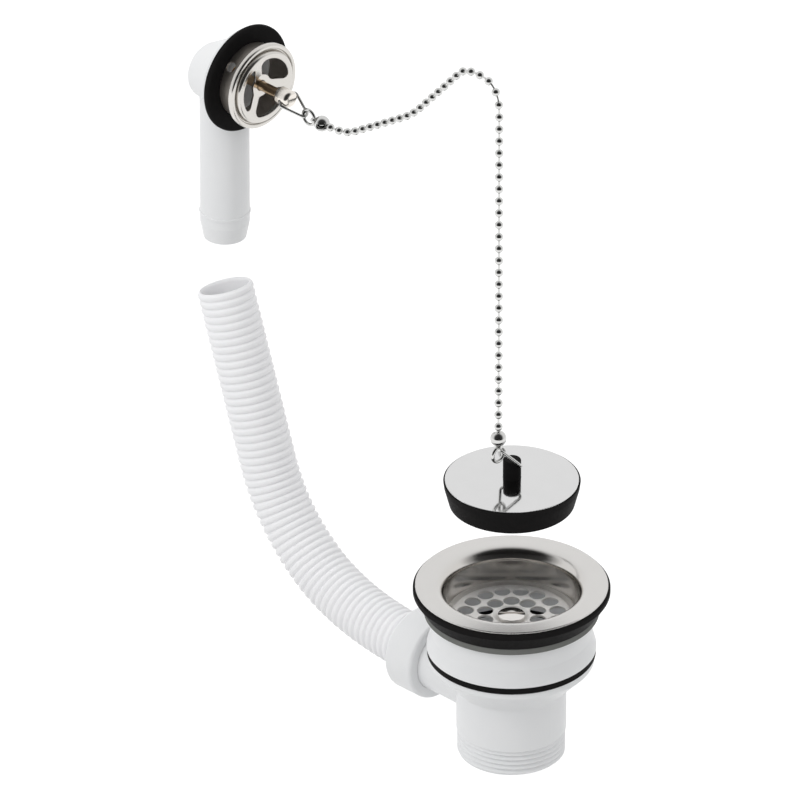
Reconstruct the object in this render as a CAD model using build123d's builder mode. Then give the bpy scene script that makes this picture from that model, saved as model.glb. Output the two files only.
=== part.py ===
from build123d import *
from math import ceil, hypot, radians, tan
import os

os.makedirs("parts", exist_ok=True)

# Sink waste with a grid strainer, a corrugated overflow pipe and a plug on a ball chain.
# Millimetres, +Z up. The origin is on the waste's axis, on the underside of the flange.
# The side port and the overflow lie towards -X, and the overflow faces +X.

# General fits
slip = 0.1
loose = 0.3

# Roundings of edges and bends
fine_edge = 0.15
sharp_edge = 0.3
soft_edge = 0.6
round_edge = 1.2
wide_edge = 3.0

# Strainer bowl, pressed from sheet
flange_r = 42.5
sheet = 0.9
mouth_r = 30.0
lip_bend_r = 6.0
floor_r = 28.2
floor_drop = 18.0
plateau_r = 26.4
plateau_rise = 2.2
plateau_run = 0.8
floor_bend_r = 0.6
grid_hole_r = 3.6
grid_turn = 135
outer_hole_count = 16
outer_hole_ring_r = 20.6
inner_hole_count = 10
inner_hole_ring_r = 12.2
dimple_r = 8.2
dimple_drop = 1.2

# Screw in the middle of the grid
strainer_screw_r = 2.9
strainer_head_r = 6.1
strainer_head_height = 2.3
strainer_head_dome = 0.7
strainer_slot = 1.8
strainer_screw_end = -53.0

# Rings between the flange and the body, from the top down
flange_gasket_r = 43.5
flange_gasket_edge = 2.5
flange_gasket_foot_r = 39.0
flange_gasket_height = 9.6
sink_washer_r = 38.7
sink_washer_height = 3.2
upper_ring_neck_r = 35.6
upper_ring_rim_r = 37.4
upper_ring_neck_height = 10.0
upper_ring_rim_height = 1.2
upper_ring_height = 17.7
body_gasket_r = 37.2
body_gasket_height = 3.3
bowl_gap = 0.8

# Body with the threaded outlet
body_rim_r = 36.6
body_rim_height = 3.0
body_cone_height = 13.0
pipe_r = 24.3
pipe_height = 21.0
thread_r = 23.9
thread_height = 12.6
thread_chamfer = 1.0
pipe_bore_r = 20.5
body_wall = 3.2
body_mouth_r = 32.0
spider_count = 3
spider_thickness = 3.0
spider_height = 8.0
boss_r = 6.6
boss_height = 17.0
boss_drop = 5.0
body_insert_r = 4.6
body_insert_length = 14.0

# Side port, its nut and the pipe's cuff
port_z = -55.5
port_r = 14.5
port_bore_r = 11.0
port_end_x = -55.0
nut_r = 19.3
nut_front_x = -44.0
nut_front_edge = 1.6
nut_far_edge = 2.2
nut_lip = 2.0
hose_washer_thickness = 2.0
cuff_r = 14.2
cuff_thickness = 1.5

# Corrugated overflow pipe, in the XZ plane
hose_crest_r = 12.7
hose_root_r = 11.8
hose_bore_r = 11.2
hose_pitch = 3.5
hose_sleeve = 5.0
hose_corner_x = -133.0
hose_top_x = -179.2
hose_top_z = 79.4
hose_bend_r = 85.0

# Overflow elbow
overflow_z = 190.4
leg_drop = 5.0
leg_r = 11.8
leg_rounding = 4.5
tube_setback = 11.8
tube_r = 11.05
tube_bore_r = 8.8
spigot_z = 105.9
spigot_tip_r = 9.6
barb_count = 4
barb_pitch = 1.9
barb_step = 0.25
barb_slope = 0.8
stop_ridge_gap = 4.4
stop_ridge_height = 1.2
stop_ridge_r = 11.4
elbow_wall = 2.2
elbow_face_x = -167.0
elbow_depth = 24.2
elbow_flange_r = 22.4
elbow_flange_thickness = 3.0
funnel_r = 19.0
elbow_mouth_r = 15.6
elbow_boss_r = 5.0
elbow_boss_setback = 4.0
elbow_insert_r = 3.7
elbow_insert_length = 10.0

# Overflow gasket, rosette and screw
overflow_gasket_r = 24.9
overflow_gasket_thickness = 3.0
rosette_sheet = 0.9
skirt_r = 17.2
skirt_length = 10.4
bezel_r = 19.9
bezel_thickness = 2.8
plate_proud = 1.5
groove_r = 17.5
groove_width = 0.6
groove_depth = 1.3
spoke_count = 3
spoke_turn = 110
spoke_width = 4.2
petal_outer_r = 13.9
petal_inner_r = 5.2
petal_corner_r = 2.3
dish_depth = 3.2
notch_r = 2.4
notch_turn = 137
overflow_screw_r = 2.2
overflow_head_r = 4.0
overflow_head_length = 7.6
overflow_head_back_rounding = 1.6
overflow_head_front_rounding = 2.6
overflow_head_gap = 8.3
eye_hole_r = 1.2
eye_turn = 15

# Wire links, rings and clasps
link_wire_r = 0.7
link_corner_r = 1.7
screw_link_half = 5.6
screw_link_length = 15.8
screw_link_fall = 27
plug_link_half = 7.2
plug_link_length = 13.4
plug_link_lean = 40
ring_r = 3.5
ring_wire_r = 0.8
plug_ring_droop = 50
link_play = 0.25
clasp_r = 3.6
clasp_wall = 0.6
clasp_slot = 2.2
tab_reach = 1.0
tab_r = 1.8
tab_hole_r = 0.95
tab_thickness = 0.9

# Ball chain, and the corners of its arch: share of the span, rise over the start, bend radius
ball_r = 1.9
ball_pitch = 6.0
chain_pin_r = 0.5
chain_arch = [(0.125, 0.8, 30.0), (0.513, 30.6, 60.0), (0.814, 69.6, 16.0), (1.0, 69.6, 14.0)]

# Plug, lifted over the bowl
plug_lift = 42.5
plug_height = 11.4
plug_overlap = 0.2
plug_taper = 2.6
plug_edge = 3.0
plug_edge_taper = 0.4
plug_border = 0.7
cover_thickness = 1.2
cover_seat = 0.7
cover_dome = 0.9
cover_sweep_r = 1000.0
post_r = 4.0
post_height = 10.6
post_hole_drop = 1.7
post_rounding = 0.8

# Levels of the stack, from the flange down
gasket_foot_z = -flange_gasket_height
washer_foot_z = gasket_foot_z - sink_washer_height
ring_foot_z = washer_foot_z - upper_ring_height
body_top_z = ring_foot_z - body_gasket_height
collar_foot_z = body_top_z - body_rim_height
pipe_top_z = collar_foot_z - body_cone_height
thread_top_z = pipe_top_z - pipe_height
outlet_z = thread_top_z - thread_height
floor_z = sheet - floor_drop
grid_z = floor_z + plateau_rise
dimple_z = grid_z - dimple_drop
bowl_outer_r = mouth_r + sheet + bowl_gap
gasket_top_bore_r = mouth_r + lip_bend_r + loose
gasket_bore_r = mouth_r + sheet + loose
boss_top_z = collar_foot_z - boss_drop

# Stations of the elbow, back from its face
tube_x = elbow_face_x - tube_setback
elbow_back_x = elbow_face_x - elbow_depth
elbow_boss_x = elbow_face_x - elbow_boss_setback

# Planes whose X is the axis of turning and whose Y is the radius
waste_axis = Plane((0, 0, 0), x_dir=(0, 0, 1), z_dir=(0, 1, 0))
port_axis = Plane((0, 0, port_z), x_dir=(1, 0, 0), z_dir=(0, -1, 0))
tube_axis = Plane((tube_x, 0, 0), x_dir=(0, 0, 1), z_dir=(0, 1, 0))
overflow_axis = Plane((0, 0, overflow_z), x_dir=(1, 0, 0), z_dir=(0, -1, 0))


def fitted_rounding(before, corner, after):
    """Rounding of a corner, kept within the edges on both sides of it."""
    here = Vector(corner[0], corner[1])
    back = Vector(before[0], before[1]) - here
    ahead = Vector(after[0], after[1]) - here
    half_angle = radians(back.get_angle(ahead)) / 2
    return min(corner[2], 0.45 * min(back.length, ahead.length) * tan(half_angle))


def turned(plane, corners, mode=Mode.ADD):
    """Turn a closed outline about a plane's X axis; corners are (along, radius, rounding)."""
    neighbours = zip(corners[-1:] + corners[:-1], corners, corners[1:] + corners[:1])
    with BuildSketch(plane) as outline:
        with BuildLine():
            FilletPolyline(
                *[(along, radius) for along, radius, rounding in corners],
                radius=[fitted_rounding(*three) for three in neighbours],
                close=True,
            )
        make_face()
    revolve(outline.sketch, axis=Axis(plane.origin, plane.x_dir), mode=mode)


def plain_ring(plane, low, high, inner_r, outer_r, rounding):
    """Turn a ring between two stations, with its outer corners rounded."""
    turned(
        plane,
        [(low, inner_r, 0), (low, outer_r, rounding), (high, outer_r, rounding), (high, inner_r, 0)],
    )


def keep(builder, name):
    """Label a finished piece and write it out."""
    builder.part.label = name
    export_step(builder.part, f"parts/{name}.step")


def station(path, distance, side):
    """Plane square to a path at a distance along it."""
    return Plane(
        origin=path.position_at(distance, position_mode=PositionMode.LENGTH),
        x_dir=side,
        z_dir=path.tangent_at(distance, position_mode=PositionMode.LENGTH),
    )


def wire_triangle(plane, half_base, length):
    """Bend a closed triangle of round wire: its base lies on the plane's X axis."""
    with BuildLine(plane) as loop:
        FilletPolyline(
            (half_base, 0), (0, length), (-half_base, 0), radius=link_corner_r, close=True
        )
    loop_wire = loop.wire()
    with BuildSketch(Plane(loop_wire @ 0, x_dir=plane.z_dir, z_dir=loop_wire % 0)) as section:
        Circle(link_wire_r)
    sweep(section.sketch, path=loop_wire)


def clasp(chain_hole_r):
    """Hollow ball clasp: the chain leaves along Z, and a holed tab across X stands opposite."""
    Sphere(clasp_r)
    with BuildSketch(Plane.YZ) as tab:
        with Locations((0, -clasp_r - tab_reach)):
            Circle(tab_r)
        with Locations((0, -clasp_r)):
            Rectangle(2 * tab_r, 2 * tab_reach)
    extrude(tab.sketch, amount=tab_thickness / 2, both=True)
    Sphere(clasp_r - clasp_wall, mode=Mode.SUBTRACT)
    with BuildSketch(Plane.YZ) as tab_hole:
        with Locations((0, -clasp_r - tab_reach)):
            Circle(tab_hole_r)
    extrude(tab_hole.sketch, amount=tab_thickness, both=True, mode=Mode.SUBTRACT)
    with BuildSketch(Plane.XY) as way_in:
        Circle(chain_hole_r)
        with Locations((0, clasp_r / 2)):
            Rectangle(clasp_slot, clasp_r)
    extrude(way_in.sketch, amount=clasp_r, mode=Mode.SUBTRACT)


# Strainer bowl: flange, lip, wall, groove, raised grid and screw dimple
with BuildPart() as strainer_bowl:
    screw_hole_r = strainer_screw_r + loose
    dimple_floor_r = strainer_head_r + slip
    turned(
        waste_axis,
        [
            (sheet, flange_r, sharp_edge),
            (sheet, mouth_r, lip_bend_r),
            (floor_z, floor_r, floor_bend_r),
            (floor_z, plateau_r + plateau_run, sharp_edge),
            (grid_z, plateau_r, soft_edge),
            (grid_z, dimple_r, soft_edge),
            (dimple_z, dimple_floor_r, sharp_edge),
            (dimple_z, screw_hole_r, 0),
            (dimple_z - sheet, screw_hole_r, 0),
            (dimple_z - sheet, dimple_floor_r + sheet / 2, soft_edge),
            (grid_z - sheet, dimple_r + sheet / 2, sharp_edge),
            (grid_z - sheet, plateau_r - sheet / 2, sharp_edge),
            (floor_z - sheet, plateau_r + plateau_run - sheet / 2, soft_edge),
            (floor_z - sheet, floor_r + sheet, floor_bend_r + sheet),
            (0, mouth_r + sheet, lip_bend_r - sheet),
            (0, flange_r, sharp_edge),
        ],
    )
    with BuildSketch(Plane.XY.offset(grid_z)):
        outer_turn = grid_turn + 180 / outer_hole_count
        with PolarLocations(outer_hole_ring_r, outer_hole_count, start_angle=outer_turn):
            Circle(grid_hole_r)
        with PolarLocations(inner_hole_ring_r, inner_hole_count, start_angle=grid_turn):
            Circle(grid_hole_r)
    extrude(amount=2 * sheet, both=True, mode=Mode.SUBTRACT)
keep(strainer_bowl, "strainer_bowl")

# Slotted screw that pulls the bowl down on the body
with BuildPart() as strainer_screw:
    head_top = dimple_z + strainer_head_height
    turned(
        waste_axis,
        [
            (strainer_screw_end, 0, 0),
            (strainer_screw_end, strainer_screw_r, strainer_screw_r / 3),
            (dimple_z, strainer_screw_r, 0),
            (dimple_z, strainer_head_r, 0),
            (head_top - strainer_head_dome, strainer_head_r, sharp_edge),
            (head_top, strainer_head_r / 3, strainer_head_r),
            (head_top, 0, 0),
        ],
    )
    with BuildSketch(Plane.XY.offset(head_top)):
        Rectangle(3 * strainer_head_r, strainer_slot, rotation=grid_turn - 90)
    extrude(amount=-strainer_head_height / 2, mode=Mode.SUBTRACT)
keep(strainer_screw, "strainer_screw")

# Tapered rubber gasket under the flange
with BuildPart() as flange_gasket:
    turned(
        waste_axis,
        [
            (0, gasket_top_bore_r, 0),
            (0, flange_gasket_r, soft_edge),
            (-flange_gasket_edge, flange_gasket_r, soft_edge),
            (gasket_foot_z, flange_gasket_foot_r, sharp_edge),
            (gasket_foot_z, gasket_bore_r, 0),
            (sheet - lip_bend_r, gasket_bore_r, 0),
        ],
    )
keep(flange_gasket, "flange_gasket")

# Grey washer that bears on the underside of the sink
with BuildPart() as sink_washer:
    plain_ring(waste_axis, washer_foot_z, gasket_foot_z, bowl_outer_r, sink_washer_r, soft_edge)
keep(sink_washer, "sink_washer")

# Upper ring with a neck and a flared rim
with BuildPart() as upper_ring:
    rim_top_z = ring_foot_z + upper_ring_rim_height
    turned(
        waste_axis,
        [
            (washer_foot_z, bowl_outer_r, 0),
            (washer_foot_z, upper_ring_neck_r, soft_edge),
            (washer_foot_z - upper_ring_neck_height, upper_ring_neck_r, round_edge),
            (rim_top_z, upper_ring_rim_r, sharp_edge),
            (ring_foot_z, upper_ring_rim_r, 0),
            (ring_foot_z, bowl_outer_r, 0),
        ],
    )
keep(upper_ring, "upper_ring")

# Thin gasket between the upper ring and the body
with BuildPart() as body_gasket:
    plain_ring(waste_axis, body_top_z, ring_foot_z, body_mouth_r, body_gasket_r, soft_edge)
keep(body_gasket, "body_gasket")

# Body: collar, cone, outlet pipe, side port, and the spider that holds the screw's bush
with BuildPart() as waste_body:
    turned(
        waste_axis,
        [
            (body_top_z, 0, 0),
            (body_top_z, body_rim_r, sharp_edge),
            (collar_foot_z, body_rim_r, round_edge),
            (pipe_top_z, pipe_r, wide_edge),
            (thread_top_z, pipe_r, 0),
            (thread_top_z, thread_r, 0),
            (outlet_z + thread_chamfer, thread_r, 0),
            (outlet_z, thread_r - thread_chamfer, 0),
            (outlet_z, 0, 0),
        ],
    )
    with BuildSketch(Plane.YZ.offset(port_end_x)):
        with Locations((0, port_z)):
            Circle(port_r)
    extrude(amount=-port_end_x)
    turned(
        waste_axis,
        [
            (body_top_z, 0, 0),
            (body_top_z, body_mouth_r, 0),
            (collar_foot_z + body_wall / 2, body_mouth_r, round_edge),
            (pipe_top_z + body_wall / 2, pipe_bore_r, round_edge),
            (outlet_z, pipe_bore_r, 0),
            (outlet_z, 0, 0),
        ],
        mode=Mode.SUBTRACT,
    )
    with BuildSketch(Plane.YZ.offset(port_end_x)):
        with Locations((0, port_z)):
            Circle(port_bore_r)
    extrude(amount=-port_end_x, mode=Mode.SUBTRACT)
    with BuildSketch(Plane.XY.offset(boss_top_z - boss_height)):
        Circle(boss_r)
    extrude(amount=boss_height)
    with BuildSketch(Plane.XY.offset(pipe_top_z - spider_height)):
        with PolarLocations(pipe_bore_r / 2, spider_count):
            Rectangle(pipe_bore_r + body_wall / 2, spider_thickness)
    extrude(amount=spider_height)
    with BuildSketch(Plane.XY.offset(boss_top_z)):
        Circle(body_insert_r + slip / 2)
    extrude(amount=-body_insert_length, mode=Mode.SUBTRACT)
keep(waste_body, "waste_body")

# Brass bush in the spider, which the strainer screw goes into
with BuildPart() as body_insert:
    plain_ring(
        waste_axis,
        boss_top_z - body_insert_length,
        boss_top_z,
        strainer_screw_r + slip,
        body_insert_r,
        sharp_edge,
    )
keep(body_insert, "body_insert")

# Sealing ring, then the cuff of the pipe, then the lip of the nut, in that order from the port
washer_far_x = port_end_x - hose_washer_thickness
cuff_far_x = washer_far_x - cuff_thickness
nut_far_x = cuff_far_x - nut_lip
with BuildPart() as hose_washer:
    plain_ring(port_axis, washer_far_x, port_end_x, port_bore_r, cuff_r, 0)
keep(hose_washer, "hose_washer")

with BuildPart() as hose_nut:
    turned(
        port_axis,
        [
            (nut_front_x, port_r + slip, 0),
            (nut_front_x, nut_r, nut_front_edge),
            (nut_far_x, nut_r, nut_far_edge),
            (nut_far_x, hose_crest_r + loose, soft_edge),
            (cuff_far_x, hose_crest_r + loose, 0),
            (cuff_far_x, port_r + slip, 0),
        ],
    )
keep(hose_nut, "hose_nut")

# Corrugated pipe: crests and roots follow each other along its route, over a plain bore
with BuildLine(Plane.XZ) as hose_route:
    FilletPolyline(
        (washer_far_x, port_z), (hose_corner_x, port_z), (hose_top_x, hose_top_z), radius=hose_bend_r
    )
hose_line = hose_route.wire()
corrugated = hose_line.length - hose_sleeve
half_waves = 2 * round(corrugated / hose_pitch)
with BuildPart() as overflow_hose:
    with BuildSketch(station(hose_line, 0, (0, 1, 0))):
        Circle(hose_root_r)
    for wave in range(half_waves + 1):
        with BuildSketch(station(hose_line, hose_sleeve + corrugated * wave / half_waves, (0, 1, 0))):
            Circle(hose_crest_r if wave % 2 else hose_root_r)
    loft(ruled=True)
    with BuildSketch(station(hose_line, 0, (0, 1, 0))):
        Circle(cuff_r)
    extrude(amount=cuff_thickness)
    with BuildSketch(station(hose_line, 0, (0, 1, 0))):
        Circle(hose_bore_r)
    sweep(path=hose_line, mode=Mode.SUBTRACT)
keep(overflow_hose, "overflow_hose")

# Elbow: funnel behind the flange, a closed back, a tube down to the barbed spigot, a boss for the bush
leg_z = overflow_z - leg_drop
barbs_top_z = spigot_z + barb_count * barb_pitch
ridge_z = barbs_top_z + stop_ridge_gap
barb_corners = []
for barb in range(barb_count):
    barb_root = spigot_tip_r + (tube_r - spigot_tip_r) * barb / barb_count
    barb_corners.append((spigot_z + barb * barb_pitch, barb_root, 0))
    barb_corners.append((spigot_z + (barb + barb_slope) * barb_pitch, barb_root + barb_step, fine_edge))
with BuildPart() as overflow_elbow:
    with BuildSketch(Plane.YZ.offset(elbow_back_x)):
        with Locations((0, leg_z)):
            Circle(leg_r)
    with BuildSketch(Plane.YZ.offset(elbow_face_x - elbow_flange_thickness)):
        with Locations((0, overflow_z)):
            Circle(funnel_r)
    loft()
    fillet(faces().sort_by(Axis.X)[0].edges(), leg_rounding)
    plain_ring(
        overflow_axis, elbow_face_x - elbow_flange_thickness, elbow_face_x, 0, elbow_flange_r, soft_edge
    )
    turned(
        tube_axis,
        [(spigot_z, 0, 0)]
        + barb_corners
        + [
            (barbs_top_z, tube_r, sharp_edge),
            (ridge_z, tube_r, 0),
            (ridge_z, stop_ridge_r, sharp_edge),
            (ridge_z + stop_ridge_height, stop_ridge_r, sharp_edge),
            (ridge_z + stop_ridge_height, tube_r, 0),
            (leg_z, tube_r, 0),
            (leg_z, 0, 0),
        ],
    )
    with BuildSketch(Plane.YZ.offset(elbow_back_x + elbow_wall)):
        with Locations((0, leg_z)):
            Circle(leg_r - elbow_wall)
    with BuildSketch(Plane.YZ.offset(elbow_face_x)):
        with Locations((0, overflow_z)):
            Circle(elbow_mouth_r)
    loft(mode=Mode.SUBTRACT)
    with BuildSketch(Plane.XY.offset(spigot_z)):
        with Locations((tube_x, 0)):
            Circle(tube_bore_r)
    extrude(amount=leg_z - spigot_z, mode=Mode.SUBTRACT)
    with BuildSketch(Plane.YZ.offset(elbow_back_x + elbow_wall / 2)):
        with Locations((0, overflow_z)):
            Circle(elbow_boss_r)
    extrude(amount=elbow_boss_x - elbow_back_x - elbow_wall / 2)
    with BuildSketch(Plane.YZ.offset(elbow_boss_x)):
        with Locations((0, overflow_z)):
            Circle(elbow_insert_r + slip / 2)
    extrude(amount=-elbow_insert_length, mode=Mode.SUBTRACT)
keep(overflow_elbow, "overflow_elbow")

# Brass bush in the elbow, which the overflow screw goes into
with BuildPart() as elbow_insert:
    plain_ring(
        overflow_axis,
        elbow_boss_x - elbow_insert_length,
        elbow_boss_x,
        overflow_screw_r + slip,
        elbow_insert_r,
        sharp_edge,
    )
keep(elbow_insert, "elbow_insert")

# Rubber gasket on the elbow's flange, round the skirt of the rosette
with BuildPart() as overflow_gasket:
    plain_ring(
        overflow_axis,
        elbow_face_x,
        elbow_face_x + overflow_gasket_thickness,
        skirt_r + loose,
        overflow_gasket_r,
        round_edge,
    )
keep(overflow_gasket, "overflow_gasket")

# Rosette: skirt with a notch, bezel, groove and a dished plate on spokes
bezel_x = elbow_face_x + skirt_length
bezel_front_x = bezel_x + bezel_thickness
front_x = bezel_front_x + plate_proud
groove_x = bezel_front_x - groove_depth
rosette_plane = Plane((front_x, 0, overflow_z), x_dir=(0, 1, 0), z_dir=(1, 0, 0))
notch_plane = Plane(
    (elbow_face_x + skirt_length / 2, 0, overflow_z),
    x_dir=(1, 0, 0),
    z_dir=Vector(0, 1, 0).rotate(Axis.X, notch_turn),
)
with BuildPart() as overflow_rosette:
    turned(
        overflow_axis,
        [
            (elbow_face_x, skirt_r - rosette_sheet, 0),
            (elbow_face_x, skirt_r, sharp_edge),
            (bezel_x, skirt_r, sharp_edge),
            (bezel_x, bezel_r, soft_edge),
            (bezel_front_x, bezel_r, round_edge),
            (bezel_front_x, groove_r + groove_width / 2, soft_edge),
            (groove_x, groove_r + groove_width / 2, 0),
            (groove_x, groove_r - groove_width / 2, 0),
            (front_x, groove_r - 1.5 * groove_width, round_edge),
            (front_x, petal_outer_r + rosette_sheet / 2, round_edge),
            (front_x - dish_depth, petal_inner_r - rosette_sheet / 2, round_edge),
            (front_x - dish_depth, overflow_screw_r + loose, 0),
            (front_x - dish_depth - rosette_sheet, overflow_screw_r + loose, 0),
            (front_x - dish_depth - rosette_sheet, petal_inner_r - rosette_sheet / 4, round_edge),
            (front_x - rosette_sheet, petal_outer_r + rosette_sheet / 2, round_edge),
            (front_x - rosette_sheet, groove_r - groove_width / 2 - 2 * rosette_sheet, soft_edge),
            (groove_x - rosette_sheet / 2, skirt_r - rosette_sheet, 0),
        ],
    )
    with BuildSketch(rosette_plane):
        Circle(petal_outer_r)
        Circle(petal_inner_r, mode=Mode.SUBTRACT)
        with PolarLocations(petal_outer_r, spoke_count, start_angle=spoke_turn):
            Rectangle(2 * petal_outer_r, spoke_width, mode=Mode.SUBTRACT)
        fillet(vertices(), petal_corner_r)
    extrude(amount=-dish_depth - 2 * rosette_sheet, mode=Mode.SUBTRACT)
    with BuildSketch(notch_plane):
        Circle(notch_r)
    extrude(amount=2 * skirt_r, mode=Mode.SUBTRACT)
keep(overflow_rosette, "overflow_rosette")

# Overflow screw: shank through the rosette, head with a cross hole
head_x = front_x + overflow_head_gap
eye_x = head_x + overflow_head_length / 2
eye_direction = Vector(0, 1, 0).rotate(Axis.X, eye_turn)
with BuildPart() as overflow_screw:
    turned(
        overflow_axis,
        [
            (elbow_boss_x - elbow_insert_length + slip, 0, 0),
            (elbow_boss_x - elbow_insert_length + slip, overflow_screw_r, soft_edge),
            (head_x, overflow_screw_r, 0),
            (head_x, overflow_head_r, overflow_head_back_rounding),
            (head_x + overflow_head_length, overflow_head_r, overflow_head_front_rounding),
            (head_x + overflow_head_length, 0, 0),
        ],
    )
    with BuildSketch(Plane((eye_x, 0, overflow_z), x_dir=(1, 0, 0), z_dir=eye_direction)):
        Circle(eye_hole_r)
    extrude(amount=2 * overflow_head_r, both=True, mode=Mode.SUBTRACT)
keep(overflow_screw, "overflow_screw")

# Triangular link in the screw's eye, with its base across the head
link_direction = Vector(1, 0, 0).rotate(Axis((0, 0, 0), eye_direction), screw_link_fall)
screw_link_plane = Plane(
    (eye_x, 0, overflow_z), x_dir=eye_direction, z_dir=eye_direction.cross(link_direction)
)
with BuildPart() as screw_link:
    wire_triangle(screw_link_plane, screw_link_half, screw_link_length)
keep(screw_link, "screw_link")


def apex_of(plane, half_base, length):
    """Middle of the wire at the rounded top of a wire triangle."""
    rounded_off = link_corner_r * (hypot(half_base, length) / half_base - 1)
    return plane.origin + plane.y_dir * (length - rounded_off)


# Small ring on the link's apex, then the clasp on the ring
ring_reach = ring_r - ring_wire_r - link_wire_r - link_play
eye_reach = clasp_r + tab_reach
screw_ring_centre = apex_of(screw_link_plane, screw_link_half, screw_link_length) + Vector(ring_reach, 0, 0)
with BuildPart(Plane(screw_ring_centre, x_dir=(1, 0, 0), z_dir=(0, -1, 0))) as screw_ring:
    Torus(ring_r, ring_wire_r)
keep(screw_ring, "screw_ring")

chain_start = screw_ring_centre + Vector(ring_r + eye_reach, 0, 0)
with BuildPart() as screw_clasp:
    clasp(chain_pin_r + loose)
screw_clasp.part.locate(Plane(chain_start, x_dir=(0, 0, 1), z_dir=(1, 0, 0)).location)
keep(screw_clasp, "screw_clasp")

# Rubber plug with a post
plug_top_z = plug_lift + plug_height
plug_rim_r = mouth_r + plug_overlap
cover_r = plug_rim_r - plug_border
post_top_z = plug_top_z + post_height
post_hole_z = post_top_z - post_hole_drop
with BuildPart() as plug_body:
    turned(
        waste_axis,
        [
            (plug_lift, 0, 0),
            (plug_lift, plug_rim_r - plug_taper, soft_edge),
            (plug_top_z - plug_edge, plug_rim_r - plug_edge_taper, round_edge),
            (plug_top_z, plug_rim_r, sharp_edge),
            (plug_top_z, cover_r + slip, 0),
            (plug_top_z - cover_seat, cover_r + slip, 0),
            (plug_top_z - cover_seat, post_r, 0),
            (post_top_z, post_r, post_rounding),
            (post_top_z, 0, 0),
        ],
    )
    with BuildSketch(Plane.YZ):
        with Locations((0, post_hole_z)):
            Circle(link_wire_r + loose / 2)
    extrude(amount=2 * post_r, both=True, mode=Mode.SUBTRACT)
keep(plug_body, "plug_body")

# Polished cover plate, slightly domed, seated in the rubber
with BuildPart() as plug_cover:
    cover_low_z = plug_top_z - cover_seat
    cover_edge_z = cover_low_z + cover_thickness
    turned(
        waste_axis,
        [
            (cover_low_z, post_r + slip, 0),
            (cover_low_z, cover_r, 0),
            (cover_edge_z, cover_r, sharp_edge),
            (cover_edge_z + 0.8 * cover_dome, cover_r / 2, cover_sweep_r),
            (cover_edge_z + cover_dome, post_r + slip, 0),
        ],
    )
keep(plug_cover, "plug_cover")

# Triangular link through the post, leaning over towards -Y
lean_direction = Vector(0, 0, 1).rotate(Axis.X, plug_link_lean)
plug_link_plane = Plane((0, 0, post_hole_z), x_dir=(1, 0, 0), z_dir=Vector(1, 0, 0).cross(lean_direction))
with BuildPart() as plug_link:
    wire_triangle(plug_link_plane, plug_link_half, plug_link_length)
keep(plug_link, "plug_link")

# Ring on that link's apex, and the clasp that stands on the ring
plug_ring_hang = Vector(0, -ring_reach, 0).rotate(Axis.X, plug_ring_droop)
plug_ring_centre = apex_of(plug_link_plane, plug_link_half, plug_link_length) + plug_ring_hang
with BuildPart(Plane(plug_ring_centre, x_dir=(0, 1, 0), z_dir=(1, 0, 0))) as plug_ring:
    Torus(ring_r, ring_wire_r)
keep(plug_ring, "plug_ring")

chain_end = plug_ring_centre + Vector(0, 0, ring_r + eye_reach)
with BuildPart() as plug_clasp:
    clasp(chain_pin_r + loose)
plug_clasp.part.locate(Plane(chain_end, x_dir=(0, 1, 0), z_dir=(0, 0, 1)).location)
keep(plug_clasp, "plug_clasp")

# Ball chain: an arch from the first clasp, then a straight fall to the second, in one upright plane
chain_span = hypot(chain_end.X - chain_start.X, chain_end.Y - chain_start.Y)
chain_along = Vector(chain_end.X - chain_start.X, chain_end.Y - chain_start.Y, 0).normalized()
chain_side = Vector(0, 0, 1).cross(chain_along)
chain_plane = Plane(chain_start, x_dir=chain_along, z_dir=chain_along.cross(Vector(0, 0, 1)))
with BuildLine(chain_plane) as chain_path:
    FilletPolyline(
        (0, 0),
        *[(share * chain_span, rise) for share, rise, bend in chain_arch],
        (chain_span, chain_end.Z - chain_start.Z),
        radius=[bend for share, rise, bend in chain_arch],
    )
chain_line = chain_path.wire()
ball_gaps = ceil(chain_line.length / ball_pitch)
ball_profile = [
    (-0.96 * ball_r, chain_pin_r),
    (-0.62 * ball_r, 0.78 * ball_r),
    (0, ball_r),
    (0.62 * ball_r, 0.78 * ball_r),
    (0.96 * ball_r, chain_pin_r),
]
with BuildPart() as ball_chain:
    for ball in range(ball_gaps + 1):
        middle = station(chain_line, chain_line.length * ball / ball_gaps, chain_side)
        for along, radius in ball_profile:
            with BuildSketch(middle.offset(along)):
                Circle(radius)
    loft(ruled=True)
keep(ball_chain, "ball_chain")
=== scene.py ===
import math
from bisect import bisect

import bmesh
import bpy
from mathutils import Matrix, Vector


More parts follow.
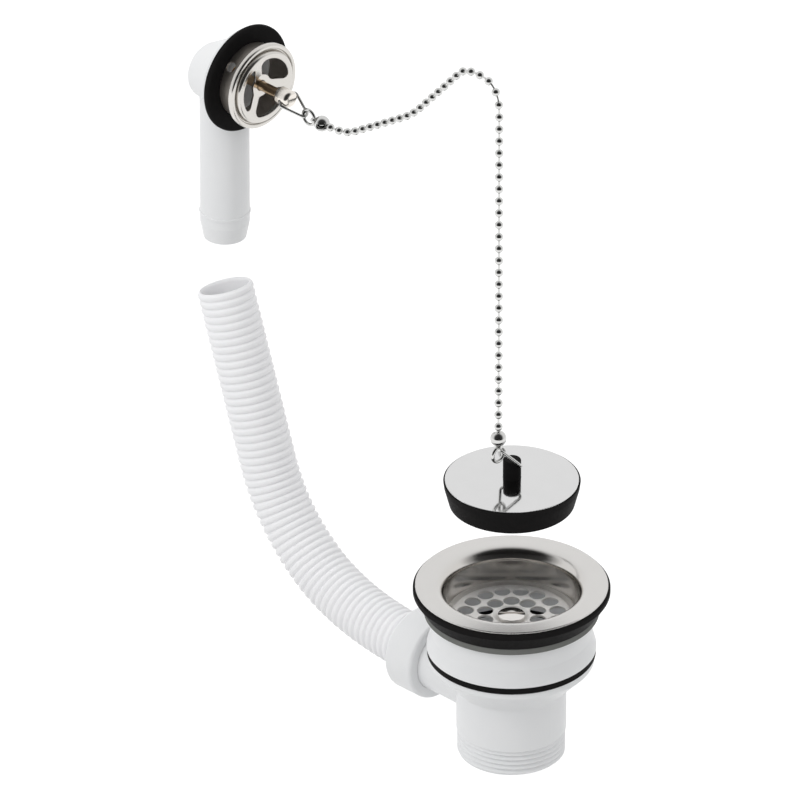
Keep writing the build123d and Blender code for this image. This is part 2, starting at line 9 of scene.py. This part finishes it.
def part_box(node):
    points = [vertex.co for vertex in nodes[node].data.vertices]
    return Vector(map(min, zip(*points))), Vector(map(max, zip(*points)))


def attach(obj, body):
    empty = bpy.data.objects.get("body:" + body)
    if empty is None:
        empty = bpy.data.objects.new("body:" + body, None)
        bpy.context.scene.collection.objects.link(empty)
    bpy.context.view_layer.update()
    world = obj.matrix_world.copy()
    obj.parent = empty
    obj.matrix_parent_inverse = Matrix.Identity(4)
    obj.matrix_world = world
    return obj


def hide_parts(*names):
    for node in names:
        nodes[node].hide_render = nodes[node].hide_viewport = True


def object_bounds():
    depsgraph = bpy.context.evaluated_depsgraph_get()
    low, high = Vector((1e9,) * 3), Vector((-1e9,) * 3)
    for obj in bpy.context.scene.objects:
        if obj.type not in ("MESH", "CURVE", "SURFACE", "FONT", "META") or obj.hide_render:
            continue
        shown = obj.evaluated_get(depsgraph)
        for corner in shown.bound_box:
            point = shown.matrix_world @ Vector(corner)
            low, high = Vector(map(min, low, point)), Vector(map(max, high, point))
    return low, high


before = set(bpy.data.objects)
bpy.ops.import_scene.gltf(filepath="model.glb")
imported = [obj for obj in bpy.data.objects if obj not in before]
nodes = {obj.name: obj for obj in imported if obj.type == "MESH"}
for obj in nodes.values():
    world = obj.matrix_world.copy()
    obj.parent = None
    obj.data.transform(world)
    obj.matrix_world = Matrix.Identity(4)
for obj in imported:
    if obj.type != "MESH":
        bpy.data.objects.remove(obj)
cad_low, cad_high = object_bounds()
MM = 0.001
scene = bpy.context.scene

# Camera: the photograph looks from 45 degrees round and 30 degrees up, with a long lens
VIEW_ROUND = math.radians(45)
VIEW_UP = math.radians(30)
VIEW_BACK = Vector(
    (
        math.sin(VIEW_ROUND) * math.cos(VIEW_UP),
        -math.cos(VIEW_ROUND) * math.cos(VIEW_UP),
        math.sin(VIEW_UP),
    )
)
VIEW_TARGET = Vector((-69.4, 0, 65.9)) * MM
VIEW_DISTANCE = 9.0
VIEW_WIDTH = 352 * MM
SENSOR_WIDTH = 36
VIEW_CLIP = (0.05, 40)

# Places on the object that materials and pieces need, read from the frame
BOWL_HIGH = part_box("strainer_bowl")[1]
BODY_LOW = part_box("waste_body")[0]
ROSETTE_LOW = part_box("overflow_rosette")[0]
SCREW_LOW, SCREW_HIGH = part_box("overflow_screw")
FLOOR_Z = cad_low.z - 0.2 * MM
FLOOR_R = 2.5
FLOOR_SIDES = 96
GRID_Z = BOWL_HIGH.z - 15.0 * MM
FLANGE_Z = BOWL_HIGH.z - 1.2 * MM

# Studio light: soft light by height, and a white tent for reflections that is dark round the camera
SOFT_LIGHT = [(-1.0, 0.8), (1.0, 1.05), (0.0, 0.55)]
TENT = [(-1.0, 1.0), (1.0, 0.02), (0.2, 1.0), (0.62, 0.05)]
KEY_PLACE = Vector((-0.5, -1.35, 0.95))
KEY_AIM = Vector((-60, 0, 60)) * MM
KEY_SIDE = 0.8
KEY_POWER = 6.5

# Sockets of the colour Mix node, whose names repeat
MIX_FACTOR, MIX_FIRST, MIX_SECOND, MIX_COLOUR = 0, 6, 7, 2

# Edges that look rounded in the metal's finish
HOLE_EDGE = 0.6 * MM
OPENING_EDGE = 0.5 * MM
EDGE_SAMPLES = 6

# Rosette and screw, along the overflow's axis
SKIRT_LENGTH = 10.4 * MM
HEAD_LENGTH = 7.6 * MM
OVERFLOW_CENTRE = (0, 0, (SCREW_LOW.z + SCREW_HIGH.z) / 2)

# Outlet thread, a G 1 1/2 pipe thread with rounded crests
THREAD_R = 23.9 * MM
THREAD_TOP = BODY_LOW.z + 12.6 * MM
THREAD_PITCH = 2.309 * MM
THREAD_DEPTH = 1.25 * MM
THREAD_CHAMFER = 1.0 * MM
THREAD_COLUMNS = 200
THREAD_ROWS_A_TURN = 14

# Corrugated pipe: points that pull its route, in the XZ plane
PIPE_POINTS = [(-57.0, -55.5), (-99.5, -55.5), (-143.8, -23.8), (-161.5, 27.7), (-179.2, 79.4)]
PIPE_ROOT_R = 11.8 * MM
PIPE_CREST_R = 12.7 * MM
PIPE_BORE_R = 11.2 * MM
PIPE_PITCH = 3.5 * MM
PIPE_SLEEVE = 5.0 * MM
PIPE_CUFF_R = 14.2 * MM
PIPE_CUFF = 1.5 * MM
PIPE_COLUMNS = 88
PIPE_ROWS_A_WAVE = 16
PIPE_GROOVE_POWER = 2.5

# Ball chain: points that pull its route, as a share of the span and a rise over the first clasp
CLASP_R = 3.6 * MM
CHAIN_POINTS = [
    (0.0, 0.0),
    (0.125, 0.8),
    (0.236, 9.3),
    (0.406, 22.4),
    (0.513, 30.6),
    (0.600, 41.8),
    (0.735, 59.3),
    (0.814, 69.6),
    (1.0, 69.6),
    (1.0, 42.0),
]
BALL_R = 1.9 * MM
BALL_PITCH = 6.0 * MM
BALL_SEGMENTS = 24
BALL_RINGS = 14
CHAIN_PIN_R = 0.5 * MM
CHAIN_PIN_SEGMENTS = 12

# Routes of the pipe and the chain: points for each pull, and the order of the curve
ROUTE_POINTS = 40
ROUTE_ORDER = 3


class Material:
    """A Principled material with short calls for the nodes that drive it."""

    def __init__(self, name):
        self.material = bpy.data.materials.new(name)
        self.material.use_nodes = True
        self.tree = self.material.node_tree
        self.shader = self.tree.nodes["Principled BSDF"]
        self.position = self.tree.nodes.new("ShaderNodeTexCoord").outputs["Object"]

    def set(self, **values):
        for name, value in values.items():
            self.shader.inputs[name.replace("_", " ")].default_value = value
        return self

    def link(self, output, socket_name):
        self.tree.links.new(output, self.shader.inputs[socket_name])

    def node(self, kind, inputs=None, **settings):
        made = self.tree.nodes.new(kind)
        for name, value in settings.items():
            setattr(made, name, value)
        for key, value in (inputs or {}).items():
            if isinstance(value, bpy.types.NodeSocket):
                self.tree.links.new(value, made.inputs[key])
            else:
                made.inputs[key].default_value = value
        return made

    def noise(self, size, detail=3.0, vector=None):
        """Noise whose features are about this many metres wide."""
        made = self.node(
            "ShaderNodeTexNoise",
            {"Vector": vector or self.position, "Scale": 1 / size, "Detail": detail},
        )
        return made.outputs["Fac"]

    def spread(self, factor, low, high):
        """A number from low to high as the factor goes over the middle of its range."""
        made = self.node(
            "ShaderNodeMapRange",
            {"Value": factor, "From Min": 0.3, "From Max": 0.7, "To Min": low, "To Max": high},
        )
        return made.outputs["Result"]

    def blend(self, factor, first, second):
        """The first colour at factor 0, the second at factor 1."""
        made = self.node("ShaderNodeMix", data_type="RGBA")
        for index, value in ((MIX_FACTOR, factor), (MIX_FIRST, first), (MIX_SECOND, second)):
            if isinstance(value, bpy.types.NodeSocket):
                self.tree.links.new(value, made.inputs[index])
            else:
                made.inputs[index].default_value = value
        return made.outputs[MIX_COLOUR]

    def bump(self, height, depth, strength=1.0, edge=None):
        """Fine relief, over edges that look rounded to a radius where one is given."""
        made = self.node(
            "ShaderNodeBump", {"Height": height, "Distance": depth, "Strength": strength}
        )
        if edge:
            rounded = self.node("ShaderNodeBevel", {"Radius": edge}, samples=EDGE_SAMPLES)
            self.tree.links.new(rounded.outputs["Normal"], made.inputs["Normal"])
        self.link(made.outputs["Normal"], "Normal")

    def step(self, axis, edge, width):
        """0 below a place along an axis, 1 above it, with a soft change."""
        parts = self.node("ShaderNodeSeparateXYZ", {"Vector": self.position})
        made = self.node(
            "ShaderNodeMapRange",
            {
                "Value": parts.outputs[axis],
                "From Min": edge - width / 2,
                "From Max": edge + width / 2,
            },
        )
        return made.outputs["Result"]

    def polar(self, axis, centre, along_scale):
        """Coordinates that run round an axis: radius, angle times a small length, and height."""
        moved = self.node(
            "ShaderNodeVectorMath", {0: self.position, 1: centre}, operation="SUBTRACT"
        ).outputs["Vector"]
        parts = self.node("ShaderNodeSeparateXYZ", {"Vector": moved})
        across = [name for name in "XYZ" if name != axis]
        angle = self.node(
            "ShaderNodeMath",
            {0: parts.outputs[across[0]], 1: parts.outputs[across[1]]},
            operation="ARCTAN2",
        ).outputs[0]
        flat = self.node(
            "ShaderNodeCombineXYZ", {"X": parts.outputs[across[0]], "Y": parts.outputs[across[1]]}
        ).outputs[0]
        radius = self.node("ShaderNodeVectorMath", {0: flat}, operation="LENGTH").outputs["Value"]
        along = self.node(
            "ShaderNodeMath", {0: angle, 1: along_scale}, operation="MULTIPLY"
        ).outputs[0]
        made = self.node(
            "ShaderNodeCombineXYZ", {"X": radius, "Y": along, "Z": parts.outputs[axis]}
        )
        return made.outputs[0]

    def turned_lines(self):
        """Noise in fine lines that run round the upright axis."""
        return self.noise(0.22 * MM, 4, self.polar("Z", (0, 0, 0), 0.4 * MM))


def white_plastic():
    """Moulded white plastic with a soft shine."""
    made = Material("white_plastic").set(
        Subsurface_Weight=0.1,
        Subsurface_Radius=(1, 1, 1),
        Subsurface_Scale=2 * MM,
        Specular_IOR_Level=0.45,
    )
    tone = made.noise(14 * MM, 2)
    made.link(made.blend(tone, (0.81, 0.82, 0.83, 1), (0.85, 0.855, 0.86, 1)), "Base Color")
    made.link(made.spread(made.noise(3 * MM), 0.30, 0.42), "Roughness")
    made.bump(made.noise(0.5 * MM, 4), 0.02 * MM, 0.35)
    return made.material


def pipe_plastic():
    """The pipe's thin, whiter and duller plastic."""
    made = Material("pipe_plastic").set(
        Subsurface_Weight=0.2,
        Subsurface_Radius=(1, 1, 1),
        Subsurface_Scale=2 * MM,
        Specular_IOR_Level=0.3,
    )
    tone = made.noise(10 * MM, 3)
    made.link(made.blend(tone, (0.91, 0.91, 0.93, 1), (0.94, 0.94, 0.95, 1)), "Base Color")
    made.link(made.spread(made.noise(2 * MM), 0.34, 0.5), "Roughness")
    made.bump(made.noise(0.8 * MM, 4), 0.03 * MM, 0.4)
    return made.material


def rubber(name, dark, light, roughness):
    """Matt rubber with a fine grain."""
    made = Material(name).set(Specular_IOR_Level=0.02)
    made.link(made.blend(made.noise(2.5 * MM, 5), dark, light), "Base Color")
    made.link(made.spread(made.noise(1.2 * MM), *roughness), "Roughness")
    made.bump(made.noise(0.35 * MM, 4), 0.04 * MM, 0.5)
    return made.material


def cover_chrome():
    """The plug's polished cover."""
    made = Material("cover_chrome").set(Metallic=1.0)
    lines = made.turned_lines()
    chrome = made.blend(made.noise(9 * MM, 3), (0.71, 0.71, 0.71, 1), (0.68, 0.68, 0.68, 1))
    made.link(chrome, "Base Color")
    made.link(made.spread(lines, 0.06, 0.10), "Roughness")
    made.bump(lines, 0.001 * MM, 0.5)
    return made.material


def pressed_steel():
    """The bowl: a satin flange, a polished wall, and a duller grid with pressed hole edges. The
    grid's colour is painted light, much lighter than the steel, and the wall's colour is painted
    shade, a little darker than the flange.
    """
    made = Material("satin_steel").set(Metallic=1.0)
    lines = made.turned_lines()
    steel = made.blend(made.noise(9 * MM, 3), (0.68, 0.665, 0.65, 1), (0.64, 0.63, 0.615, 1))
    over_grid = made.step("Z", GRID_Z, 0.6 * MM)
    on_flange = made.step("Z", FLANGE_Z, 2.0 * MM)
    # Painted light and shade: the grid gets a much lighter colour for the light on it, and the wall
    # a darker one for the shade in the bowl
    grid_light_wall_shade = made.blend(over_grid, (0.97, 0.955, 0.935, 1), (0.62, 0.60, 0.575, 1))
    made.link(made.blend(on_flange, grid_light_wall_shade, steel), "Base Color")
    wall = made.blend(over_grid, (0.60, 0.60, 0.60, 1), (0.15, 0.15, 0.15, 1))
    made.link(made.blend(on_flange, wall, (0.26, 0.26, 0.26, 1)), "Roughness")
    made.bump(lines, 0.002 * MM, 0.5, HOLE_EDGE)
    return made.material


def bright_metal(name, colour, second_colour, roughness):
    """Plated or drawn metal with a faint unevenness."""
    made = Material(name).set(Metallic=1.0)
    made.link(made.blend(made.noise(4 * MM, 3), colour, second_colour), "Base Color")
    made.link(made.spread(made.noise(0.9 * MM, 4), *roughness), "Roughness")
    made.bump(made.noise(2.0 * MM, 2), 0.01 * MM, 0.3)
    return made.material


def two_tone_metal(name, edge, first, second, roughness):
    """One piece of the overflow whose finish changes at a place along the overflow's axis."""
    made = Material(name).set(Metallic=1.0)
    side = made.step("X", edge, 0.4 * MM)
    streaks = made.noise(0.25 * MM, 3, made.polar("X", OVERFLOW_CENTRE, 0.5 * MM))
    worn = made.blend(streaks, first, tuple(0.8 * part for part in first[:3]) + (1,))
    made.link(made.blend(side, worn, second), "Base Color")
    rough = made.node(
        "ShaderNodeMapRange",
        {"Value": side, "To Min": roughness[0], "To Max": roughness[1]},
    )
    made.link(rough.outputs["Result"], "Roughness")
    made.bump(streaks, 0.02 * MM, 0.4, OPENING_EDGE)
    return made.material


MATERIALS = {
    "white_plastic": white_plastic(),
    "pipe_plastic": pipe_plastic(),
    "black_rubber": rubber(
        "black_rubber", (0.008, 0.008, 0.008, 1), (0.014, 0.013, 0.013, 1), (0.42, 0.58)
    ),
    "grey_rubber": rubber(
        "grey_rubber", (0.16, 0.165, 0.155, 1), (0.20, 0.205, 0.195, 1), (0.5, 0.65)
    ),
    "satin_steel": pressed_steel(),
    "cover_chrome": cover_chrome(),
    "chrome_plate": bright_metal(
        "chrome_plate", (0.76, 0.74, 0.72, 1), (0.70, 0.68, 0.66, 1), (0.08, 0.16)
    ),
    "chain_metal": bright_metal(
        "chain_metal", (0.66, 0.66, 0.65, 1), (0.56, 0.56, 0.55, 1), (0.08, 0.16)
    ),
    "rosette_metal": two_tone_metal(
        "rosette_metal",
        ROSETTE_LOW.x + SKIRT_LENGTH,
        (0.48, 0.44, 0.40, 1),
        (0.62, 0.60, 0.57, 1),
        (0.42, 0.16),
    ),
    "screw_metal": two_tone_metal(
        "screw_metal",
        SCREW_HIGH.x - HEAD_LENGTH,
        (0.70, 0.52, 0.34, 1),
        (0.78, 0.74, 0.69, 1),
        (0.28, 0.14),
    ),
    "brass": bright_metal("brass", (0.62, 0.46, 0.22, 1), (0.52, 0.37, 0.17, 1), (0.2, 0.34)),
}

FINISHES = {
    "strainer_bowl": "satin_steel",
    "strainer_screw": "chrome_plate",
    "flange_gasket": "black_rubber",
    "sink_washer": "grey_rubber",
    "upper_ring": "white_plastic",
    "body_gasket": "black_rubber",
    "waste_body": "white_plastic",
    "body_insert": "brass",
    "hose_nut": "white_plastic",
    "hose_washer": "black_rubber",
    "overflow_hose": "pipe_plastic",
    "overflow_elbow": "white_plastic",
    "elbow_insert": "brass",
    "overflow_gasket": "black_rubber",
    "overflow_rosette": "rosette_metal",
    "overflow_screw": "screw_metal",
    "screw_link": "chain_metal",
    "screw_ring": "chain_metal",
    "screw_clasp": "chain_metal",
    "ball_chain": "chain_metal",
    "plug_clasp": "chain_metal",
    "plug_ring": "chain_metal",
    "plug_link": "chain_metal",
    "plug_body": "black_rubber",
    "plug_cover": "cover_chrome",
}
for node_name, finish in FINISHES.items():
    nodes[node_name].data.materials.clear()
    nodes[node_name].data.materials.append(MATERIALS[finish])


class Route:
    """A smooth line through space, measured by the distance along it."""

    def __init__(self, pulls):
        data = bpy.data.curves.new("route", "CURVE")
        data.dimensions = "3D"
        data.resolution_u = ROUTE_POINTS
        spline = data.splines.new("NURBS")
        spline.points.add(len(pulls) - 1)
        for point, place in zip(spline.points, pulls):
            point.co = (*place, 1)
        spline.use_endpoint_u = True
        spline.order_u = ROUTE_ORDER
        curve = bpy.data.objects.new("route", data)
        mesh = bpy.data.meshes.new_from_object(curve)
        self.points = [vertex.co.copy() for vertex in mesh.vertices]
        bpy.data.meshes.remove(mesh)
        bpy.data.curves.remove(data)
        self.distances = [0.0]
        for start, end in zip(self.points, self.points[1:]):
            self.distances.append(self.distances[-1] + (end - start).length)
        self.length = self.distances[-1]

    def place(self, distance):
        """The point at a distance along the line."""
        last = min(max(bisect(self.distances, distance), 1), len(self.points) - 1)
        start, end = self.points[last - 1], self.points[last]
        step = self.distances[last] - self.distances[last - 1]
        return start.lerp(end, (distance - self.distances[last - 1]) / step)

    def direction(self, distance):
        return (self.place(distance + MM) - self.place(distance - MM)).normalized()

    def matrix(self, distance):
        """A frame whose Z runs along the line."""
        turned = self.direction(distance).to_track_quat("Z", "Y").to_matrix().to_4x4()
        return Matrix.Translation(self.place(distance)) @ turned


def add_piece(name, shape, finish, replaced):
    """Make a finished shape into a piece that stands for a CAD node."""
    mesh = bpy.data.meshes.new(name)
    shape.to_mesh(mesh)
    shape.free()
    mesh.materials.clear()
    mesh.materials.append(MATERIALS[finish])
    piece = bpy.data.objects.new(name, mesh)
    scene.collection.objects.link(piece)
    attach(piece, "root")
    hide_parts(replaced)


def add_skin(shape, rings):
    """Join rings of points, each with as many as the next, by smooth faces."""
    made = [[shape.verts.new(place) for place in ring] for ring in rings]
    for upper, lower in zip(made, made[1:]):
        for index in range(len(upper)):
            after = (index + 1) % len(upper)
            face = shape.faces.new((upper[index], lower[index], lower[after], upper[after]))
            face.smooth = True


def thread_radius(depth_below, angle):
    """Radius of the outlet's thread at a distance below its top."""
    phase = depth_below / THREAD_PITCH - angle / math.tau
    groove = 0.5 - 0.5 * math.cos(math.tau * phase)
    height_over_end = THREAD_TOP - BODY_LOW.z - depth_below
    run_out = min(1.0, depth_below / THREAD_PITCH, height_over_end / THREAD_CHAMFER)
    chamfer = max(0.0, THREAD_CHAMFER - height_over_end)
    return THREAD_R - max(chamfer, THREAD_DEPTH * groove * run_out)


def add_threaded_body():
    """The body with its outlet's plain end cut into a thread."""
    shape = bmesh.new()
    shape.from_mesh(nodes["waste_body"].data)
    tolerance = 0.05 * MM
    inner_r = THREAD_R - THREAD_CHAMFER - tolerance
    plain_end = [
        face
        for face in shape.faces
        if all(
            vertex.co.z < THREAD_TOP + tolerance
            and inner_r < vertex.co.xy.length < THREAD_R + tolerance
            for vertex in face.verts
        )
    ]
    bmesh.ops.delete(shape, geom=plain_end, context="FACES")
    length = THREAD_TOP - BODY_LOW.z
    rows = round(length / THREAD_PITCH * THREAD_ROWS_A_TURN)
    rings = []
    for row in range(rows + 1):
        below = length * row / rows
        ring = []
        for column in range(THREAD_COLUMNS):
            angle = math.tau * column / THREAD_COLUMNS
            radius = thread_radius(below, angle)
            ring.append((radius * math.cos(angle), radius * math.sin(angle), THREAD_TOP - below))
        rings.append(ring)
    add_skin(shape, rings)
    add_piece("threaded_body", shape, "white_plastic", "waste_body")


def pipe_ring(route, distance, radius):
    """A ring of points round the pipe's route."""
    turned = route.matrix(distance)
    angles = [math.tau * column / PIPE_COLUMNS for column in range(PIPE_COLUMNS)]
    return [
        turned @ Vector((radius * math.cos(angle), radius * math.sin(angle), 0)) for angle in angles
    ]


def add_corrugated_pipe():
    """The overflow pipe: a cuff in the nut, a plain sleeve, then rounded waves to the open end."""
    route = Route([Vector((along, 0, up)) * MM for along, up in PIPE_POINTS])
    corrugated = route.length - PIPE_SLEEVE
    waves = round(corrugated / PIPE_PITCH)
    rows = waves * PIPE_ROWS_A_WAVE
    rings = [
        pipe_ring(route, 0, PIPE_BORE_R),
        pipe_ring(route, 0, PIPE_CUFF_R),
        pipe_ring(route, PIPE_CUFF, PIPE_CUFF_R),
        pipe_ring(route, PIPE_CUFF, PIPE_ROOT_R),
    ]
    for row in range(rows + 1):
        wave = 0.5 - 0.5 * math.cos(math.tau * row / PIPE_ROWS_A_WAVE)
        radius = PIPE_CREST_R - (PIPE_CREST_R - PIPE_ROOT_R) * (1 - wave) ** PIPE_GROOVE_POWER
        rings.append(pipe_ring(route, PIPE_SLEEVE + corrugated * row / rows, radius))
    for row in range(2 * waves, -1, -1):
        rings.append(pipe_ring(route, route.length * row / (2 * waves), PIPE_BORE_R))
    shape = bmesh.new()
    add_skin(shape, rings)
    bmesh.ops.remove_doubles(shape, verts=shape.verts, dist=0.001 * MM)
    bmesh.ops.recalc_face_normals(shape, faces=shape.faces)
    add_piece("corrugated_pipe", shape, "pipe_plastic", "overflow_hose")


def add_ball_chain():
    """Round balls on short pins, from the middle of one clasp to the middle of the other."""
    first_low, first_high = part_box("screw_clasp")
    last_low, last_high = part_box("plug_clasp")
    start = (first_low + first_high) / 2
    start.x = first_high.x - CLASP_R
    end = (last_low + last_high) / 2
    end.z = last_high.z - CLASP_R
    across = Vector((end.x - start.x, end.y - start.y, 0))
    pulls = [start + across * share + Vector((0, 0, rise * MM)) for share, rise in CHAIN_POINTS]
    route = Route(pulls + [end])
    gaps = math.ceil(route.length / BALL_PITCH)
    pitch = route.length / gaps
    shape = bmesh.new()
    for ball in range(gaps + 1):
        bmesh.ops.create_uvsphere(
            shape,
            u_segments=BALL_SEGMENTS,
            v_segments=BALL_RINGS,
            radius=BALL_R,
            matrix=route.matrix(ball * pitch),
        )
    for pin in range(gaps):
        bmesh.ops.create_cone(
            shape,
            segments=CHAIN_PIN_SEGMENTS,
            radius1=CHAIN_PIN_R,
            radius2=CHAIN_PIN_R,
            depth=pitch - BALL_R,
            matrix=route.matrix((pin + 0.5) * pitch),
        )
    for face in shape.faces:
        face.smooth = True
    add_piece("beaded_chain", shape, "chain_metal", "ball_chain")


def add_floor():
    """A plain pale floor under the object."""
    bpy.ops.mesh.primitive_circle_add(
        vertices=FLOOR_SIDES, radius=FLOOR_R, fill_type="NGON", location=(0, 0, FLOOR_Z)
    )
    floor = bpy.context.object
    floor.name = "floor"
    made = Material("floor_white").set(
        Roughness=0.9,
        Specular_IOR_Level=0.1,
        Emission_Color=(1, 1, 1, 1),
        Emission_Strength=0.85,
    )
    white = made.blend(made.noise(600 * MM, 2), (0.34, 0.34, 0.34, 1), (0.36, 0.36, 0.36, 1))
    made.link(white, "Base Color")
    floor.data.materials.append(made.material)
    floor.visible_diffuse = False


def add_key_light():
    """A soft lamp on the left that shiny things don't mirror."""
    data = bpy.data.lights.new("key", "AREA")
    data.shape = "SQUARE"
    data.size = KEY_SIDE
    data.energy = KEY_POWER
    lamp = bpy.data.objects.new("key", data)
    lamp.visible_glossy = False
    lamp.location = KEY_PLACE
    lamp.rotation_mode = "QUATERNION"
    lamp.rotation_quaternion = (KEY_AIM - KEY_PLACE).to_track_quat("-Z", "Y")
    scene.collection.objects.link(lamp)


def add_ramp(tree, value, stops):
    """A grey that changes with a value from -1 to 1. The first two stops are its ends."""
    share = tree.nodes.new("ShaderNodeMapRange")
    share.inputs["From Min"].default_value = -1.0
    ramp = tree.nodes.new("ShaderNodeValToRGB")
    for index, (place, grey) in enumerate(stops):
        if index < 2:
            stop = ramp.color_ramp.elements[index]
        else:
            stop = ramp.color_ramp.elements.new((place + 1) / 2)
        stop.position = (place + 1) / 2
        stop.color = (grey, grey, grey, 1)
    tree.links.new(value, share.inputs["Value"])
    tree.links.new(share.outputs["Result"], ramp.inputs["Fac"])
    return ramp.outputs["Color"]


def add_world():
    """Soft light all round, and for shiny things a white tent that is dark round the camera."""
    world = bpy.data.worlds.new("studio")
    scene.world = world
    world.use_nodes = True
    tree = world.node_tree
    background = tree.nodes["Background"]
    direction = tree.nodes.new("ShaderNodeTexCoord").outputs["Generated"]
    height = tree.nodes.new("ShaderNodeSeparateXYZ")
    tree.links.new(direction, height.inputs[0])
    facing = tree.nodes.new("ShaderNodeVectorMath")
    facing.operation = "DOT_PRODUCT"
    facing.inputs[1].default_value = VIEW_BACK
    tree.links.new(direction, facing.inputs[0])
    soft = add_ramp(tree, height.outputs["Z"], SOFT_LIGHT)
    tent = add_ramp(tree, facing.outputs["Value"], TENT)
    rays = tree.nodes.new("ShaderNodeLightPath")
    chosen = tree.nodes.new("ShaderNodeMix")
    chosen.data_type = "RGBA"
    tree.links.new(rays.outputs["Is Glossy Ray"], chosen.inputs[MIX_FACTOR])
    tree.links.new(soft, chosen.inputs[MIX_FIRST])
    tree.links.new(tent, chosen.inputs[MIX_SECOND])
    tree.links.new(chosen.outputs[MIX_COLOUR], background.inputs["Color"])


def add_camera():
    """The photograph's eye."""
    data = bpy.data.cameras.new("camera")
    data.sensor_width = SENSOR_WIDTH
    data.lens = SENSOR_WIDTH * VIEW_DISTANCE / VIEW_WIDTH
    data.clip_start, data.clip_end = VIEW_CLIP
    camera = bpy.data.objects.new("camera", data)
    camera.location = VIEW_TARGET + VIEW_BACK * VIEW_DISTANCE
    camera.rotation_mode = "QUATERNION"
    camera.rotation_quaternion = (-VIEW_BACK).to_track_quat("-Z", "Y")
    scene.collection.objects.link(camera)
    scene.camera = camera


add_threaded_body()
add_corrugated_pipe()
add_ball_chain()
add_floor()
add_world()
add_key_light()
add_camera()
scene.view_settings.view_transform = "Standard"
